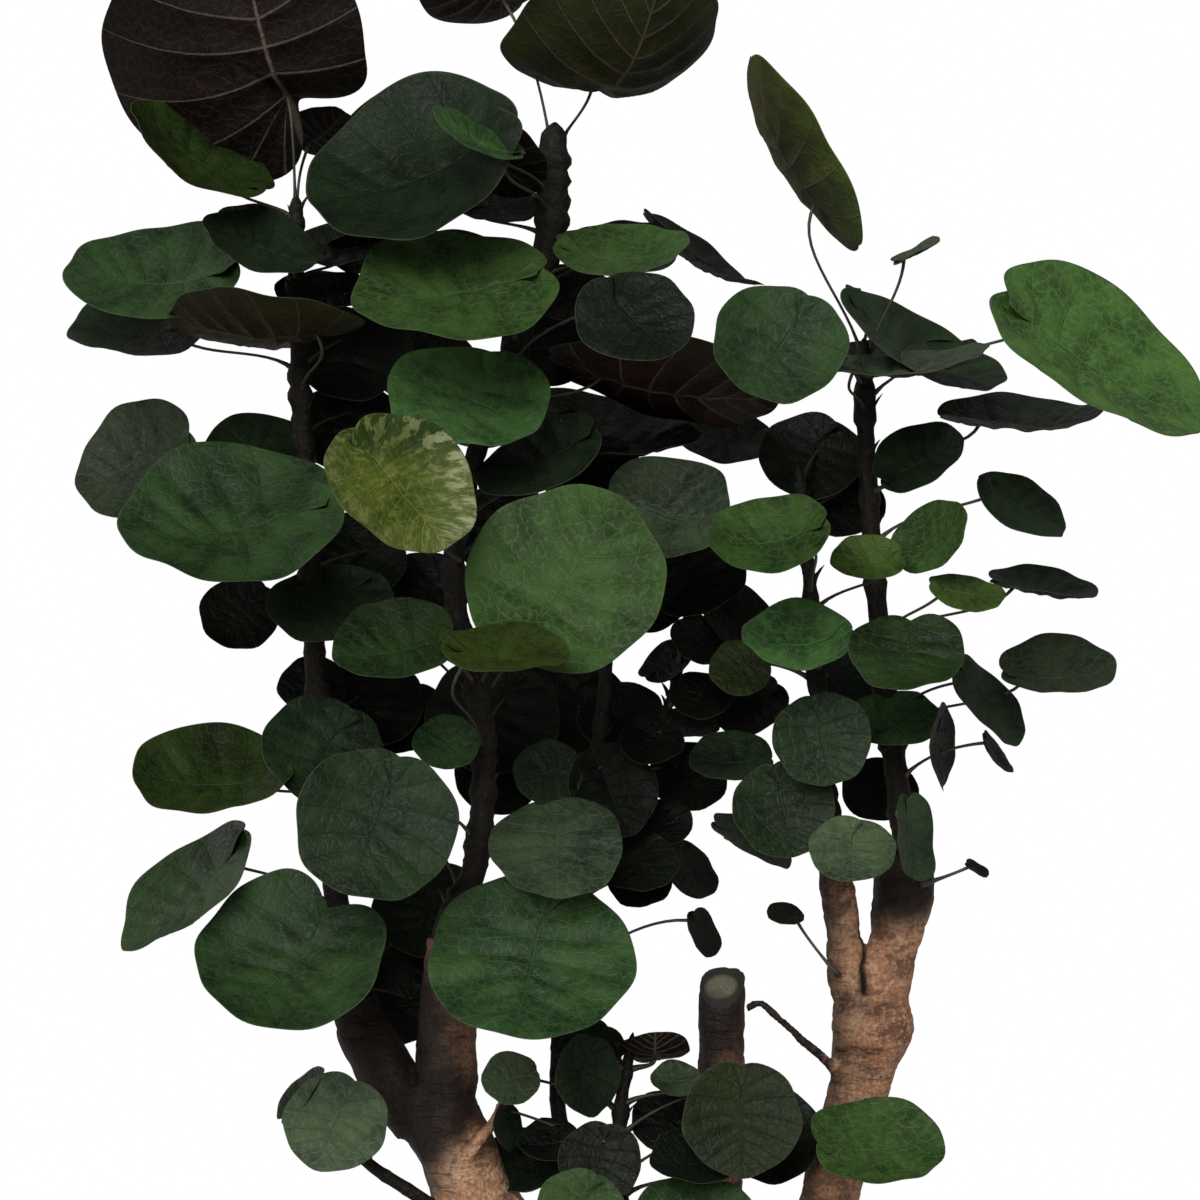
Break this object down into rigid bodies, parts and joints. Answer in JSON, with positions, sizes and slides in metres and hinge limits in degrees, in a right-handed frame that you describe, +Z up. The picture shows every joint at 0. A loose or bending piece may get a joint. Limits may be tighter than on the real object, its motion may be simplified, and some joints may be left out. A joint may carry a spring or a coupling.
{
  "type": "potted fabian aralia bonsai",
  "caption": "Potted aralia bonsai: round cupped dark leaves on thin stalks over stout forked tan trunks, standing in soil in a low round glazed pot, for display.",
  "frame": {"origin": "middle of the pot's flat base, on the surface that it stands on", "axes": "+Z up along the trunks; +X to the right of a viewer in front; +Y away from that viewer"},
  "size_m": [0.5762, 0.357, 0.9128],
  "materials": {
    "glaze": "satin",
    "earth": "matte",
    "bark": "matte",
    "leaf": "satin",
    "yellow_leaf": "satin"
  },
  "bodies": {
    "root": {"pot": "glaze", "soil": "earth", "trunk": "bark", "left_shoot": "leaf", "middle_shoot": "leaf", "centre_shoot": "leaf", "right_shoot": "leaf", "right_low_shoot": "leaf", "low_centre_shoot": "leaf", "low_left_shoot": "leaf", "limb_leaf": "leaf", "fork_leaf": "leaf", "trunk_leaf": "leaf", "yellow_leaf": "yellow_leaf"}
  },
  "joints": []
}
